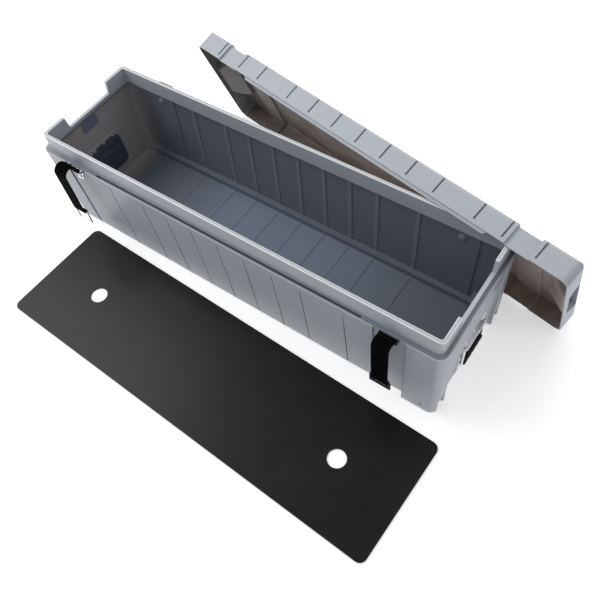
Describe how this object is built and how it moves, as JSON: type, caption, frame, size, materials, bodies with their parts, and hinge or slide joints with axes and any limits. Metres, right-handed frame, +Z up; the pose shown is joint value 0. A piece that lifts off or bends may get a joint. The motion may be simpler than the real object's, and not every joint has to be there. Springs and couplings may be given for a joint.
{
  "type": "flight case",
  "caption": "Long moulded plastic case with a lift-off lid leaning on its rim, loose cover sheet, buckle straps, sunk end handles and wheels in its corners.",
  "frame": {"origin": "middle of the case's flat underside, on the floor", "axes": "+Z up, +X along the case towards its wheels, -Y towards the cover sheet, +Y towards the leaning lid"},
  "size_m": [1.4789, 1.0991, 0.3679],
  "materials": {
    "shell": "moulded, satin",
    "sheet": "matt, finely grained",
    "webbing": "woven",
    "grip": "matt",
    "wheel": "matt",
    "black_buckle": "satin",
    "plated_steel": "bright"
  },
  "bodies": {
    "case": {"base_shell": "shell", "handle_plate_left": "plated_steel", "handle_plate_right": "plated_steel", "handle_rivets_left": "plated_steel", "handle_rivets_right": "plated_steel", "rivet_washers_left": "plated_steel", "rivet_washers_right": "plated_steel", "axle_front": "plated_steel", "axle_rear": "plated_steel", "anchor_front_left": "plated_steel", "anchor_front_right": "plated_steel", "anchor_rear_left": "plated_steel", "anchor_rear_right": "plated_steel", "anchor_bolts": "plated_steel", "anchor_caps": "shell"},
    "lid": {"lid_shell": "shell"},
    "cover_sheet": {"cover_sheet": "sheet"},
    "bail_left": {"handle_bail_left": "plated_steel", "handle_grip_left": "grip"},
    "bail_right": {"handle_bail_right": "plated_steel", "handle_grip_right": "grip"},
    "wheel_front": {"wheel_front": "wheel"},
    "wheel_rear": {"wheel_rear": "wheel"},
    "strap_front_left": {"strap_front_left": "webbing"},
    "strap_front_right": {"strap_front_right": "webbing"},
    "strap_rear_left": {"strap_rear_left": "webbing"},
    "strap_rear_right": {"strap_rear_right": "webbing"},
    "wire_hook_front_left": {"wire_hook_front_left": "plated_steel"},
    "slot_buckle_front_right": {"slot_buckle_front_right": "black_buckle"},
    "slot_buckle_rear_left": {"slot_buckle_rear_left": "black_buckle"},
    "wire_hook_rear_right": {"wire_hook_rear_right": "plated_steel"}
  },
  "joints": [
    {"name": "lid_lift", "type": "slide", "parent": "case", "child": "lid", "axis": [0, 0, 1], "range_m": [0, 0.36]},
    {"name": "sheet_lift", "type": "slide", "parent": "case", "child": "cover_sheet", "axis": [0, -0.5, 0.866], "range_m": [0, 0.3]},
    {"name": "handle_left", "type": "hinge", "parent": "case", "child": "bail_left", "pos_m": [-0.6496, 0, 0.142], "axis": [0, 1, 0], "range_deg": [0, 95]},
    {"name": "handle_right", "type": "hinge", "parent": "case", "child": "bail_right", "pos_m": [0.6496, 0, 0.142], "axis": [0, -1, 0], "range_deg": [0, 95]},
    {"name": "wheel_front_spin", "type": "hinge", "parent": "case", "child": "wheel_front", "pos_m": [0.608, -0.152, 0.0265], "axis": [0, 1, 0], "continuous": true},
    {"name": "wheel_rear_spin", "type": "hinge", "parent": "case", "child": "wheel_rear", "pos_m": [0.608, 0.152, 0.0265], "axis": [0, 1, 0], "continuous": true},
    {"name": "strap_front_left_swing", "type": "hinge", "parent": "case", "child": "strap_front_left", "pos_m": [-0.511, -0.18927, 0.28381], "axis": [-1, 0, 0], "range_deg": [0, 50]},
    {"name": "wire_hook_front_left_swing", "type": "hinge", "parent": "strap_front_left", "child": "wire_hook_front_left", "pos_m": [-0.511, -0.23127, 0.15581], "axis": [-1, 0, 0], "range_deg": [-50, 60]},
    {"name": "strap_front_right_swing", "type": "hinge", "parent": "case", "child": "strap_front_right", "pos_m": [0.511, -0.18927, 0.28381], "axis": [-1, 0, 0], "range_deg": [0, 70]},
    {"name": "slot_buckle_front_right_swing", "type": "hinge", "parent": "strap_front_right", "child": "slot_buckle_front_right", "pos_m": [0.511, -0.21927, 0.12581], "axis": [-1, 0, 0], "range_deg": [-60, 60]},
    {"name": "strap_rear_left_swing", "type": "hinge", "parent": "case", "child": "strap_rear_left", "pos_m": [-0.511, 0.18927, 0.28381], "axis": [1, 0, 0], "range_deg": [0, 75]},
    {"name": "slot_buckle_rear_left_swing", "type": "hinge", "parent": "strap_rear_left", "child": "slot_buckle_rear_left", "pos_m": [-0.511, 0.20727, 0.12581], "axis": [1, 0, 0], "range_deg": [-40, 60]},
    {"name": "strap_rear_right_swing", "type": "hinge", "parent": "case", "child": "strap_rear_right", "pos_m": [0.511, 0.18927, 0.28381], "axis": [1, 0, 0], "range_deg": [0, 18]},
    {"name": "wire_hook_rear_right_swing", "type": "hinge", "parent": "strap_rear_right", "child": "wire_hook_rear_right", "pos_m": [0.511, 0.20327, 0.12581], "axis": [1, 0, 0], "range_deg": [-18, 30]}
  ]
}
